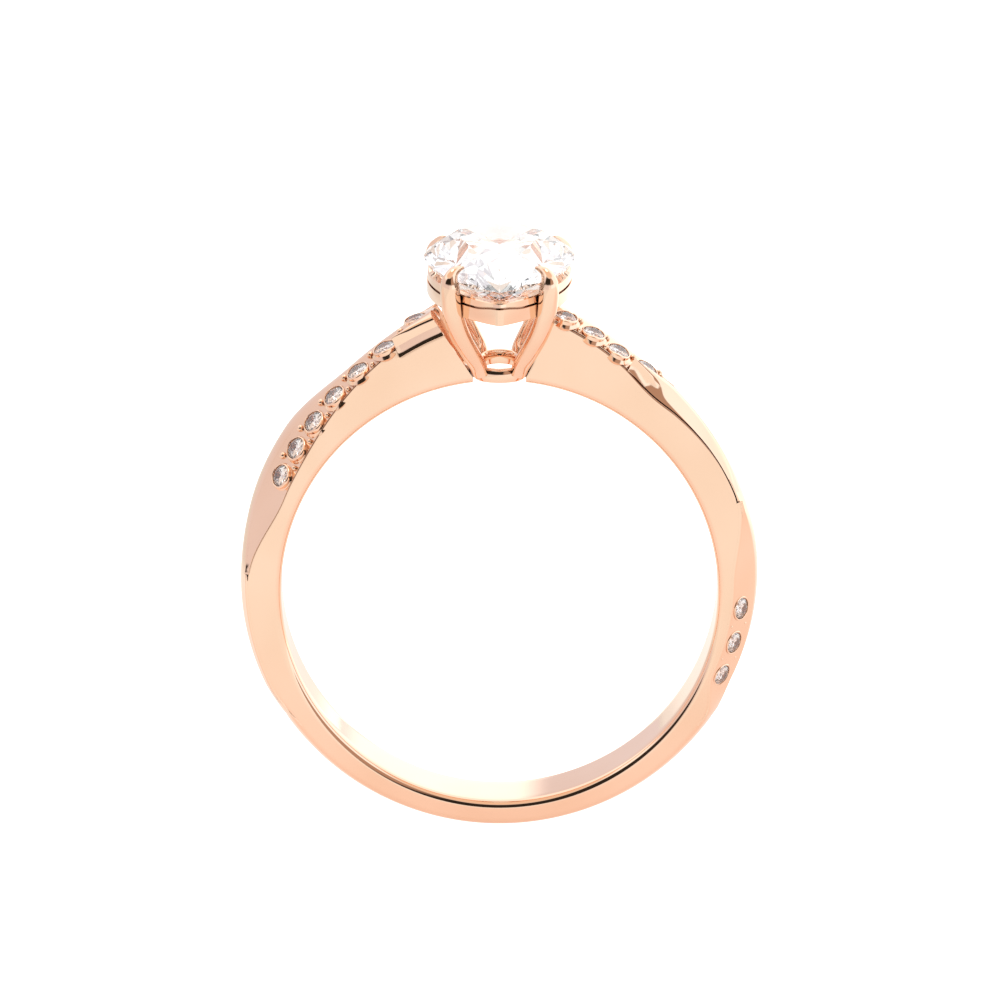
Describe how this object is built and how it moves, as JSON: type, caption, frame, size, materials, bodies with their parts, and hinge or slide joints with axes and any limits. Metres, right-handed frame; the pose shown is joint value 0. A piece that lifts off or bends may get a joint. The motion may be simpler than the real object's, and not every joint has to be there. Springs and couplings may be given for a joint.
{
  "type": "engagement ring",
  "caption": "Rose gold engagement ring with a pear-cut stone in a four-prong head on a shank whose plain and stone-set ribbons twist over each shoulder.",
  "frame": {"origin": "centre of the finger bore, halfway along its length", "axes": "+Z from the bore's centre to the centre stone, Y along the finger with -Y the face that the stone's point looks towards, +X to the right when seen from -Y"},
  "size_m": [0.0196, 0.0082, 0.0229],
  "materials": {
    "polished_gold": "polished rose gold",
    "set_gold": "bright-cut rose gold with raised beads",
    "head_gold": "polished rose gold",
    "centre_diamond": "polished facets",
    "small_diamond": "polished facets"
  },
  "bodies": {
    "root": {"shank": "polished_gold", "plain_ribbon_upper_left": "polished_gold", "plain_ribbon_upper_right": "polished_gold", "plain_ribbon_lower_left": "polished_gold", "plain_ribbon_lower_right": "polished_gold", "set_ribbon_upper_left": "set_gold", "set_ribbon_upper_right": "set_gold", "set_ribbon_lower_left": "set_gold", "set_ribbon_lower_right": "set_gold", "base_ring": "head_gold", "gallery_rail": "head_gold", "prong_front_left": "head_gold", "prong_front_right": "head_gold", "prong_back_left": "head_gold", "prong_back_right": "head_gold", "centre_stone": "centre_diamond", "pave_stone_left_1": "small_diamond", "pave_stone_left_2": "small_diamond", "pave_stone_left_3": "small_diamond", "pave_stone_left_4": "small_diamond", "pave_stone_left_5": "small_diamond", "pave_stone_left_6": "small_diamond", "pave_stone_left_7": "small_diamond", "pave_stone_left_8": "small_diamond", "pave_stone_left_9": "small_diamond", "pave_stone_left_10": "small_diamond", "pave_stone_right_1": "small_diamond", "pave_stone_right_2": "small_diamond", "pave_stone_right_3": "small_diamond", "pave_stone_right_4": "small_diamond", "pave_stone_right_5": "small_diamond", "pave_stone_right_6": "small_diamond", "pave_stone_right_7": "small_diamond", "pave_stone_right_8": "small_diamond", "pave_stone_right_9": "small_diamond", "pave_stone_right_10": "small_diamond", "pave_stone_right_11": "small_diamond"}
  },
  "joints": []
}
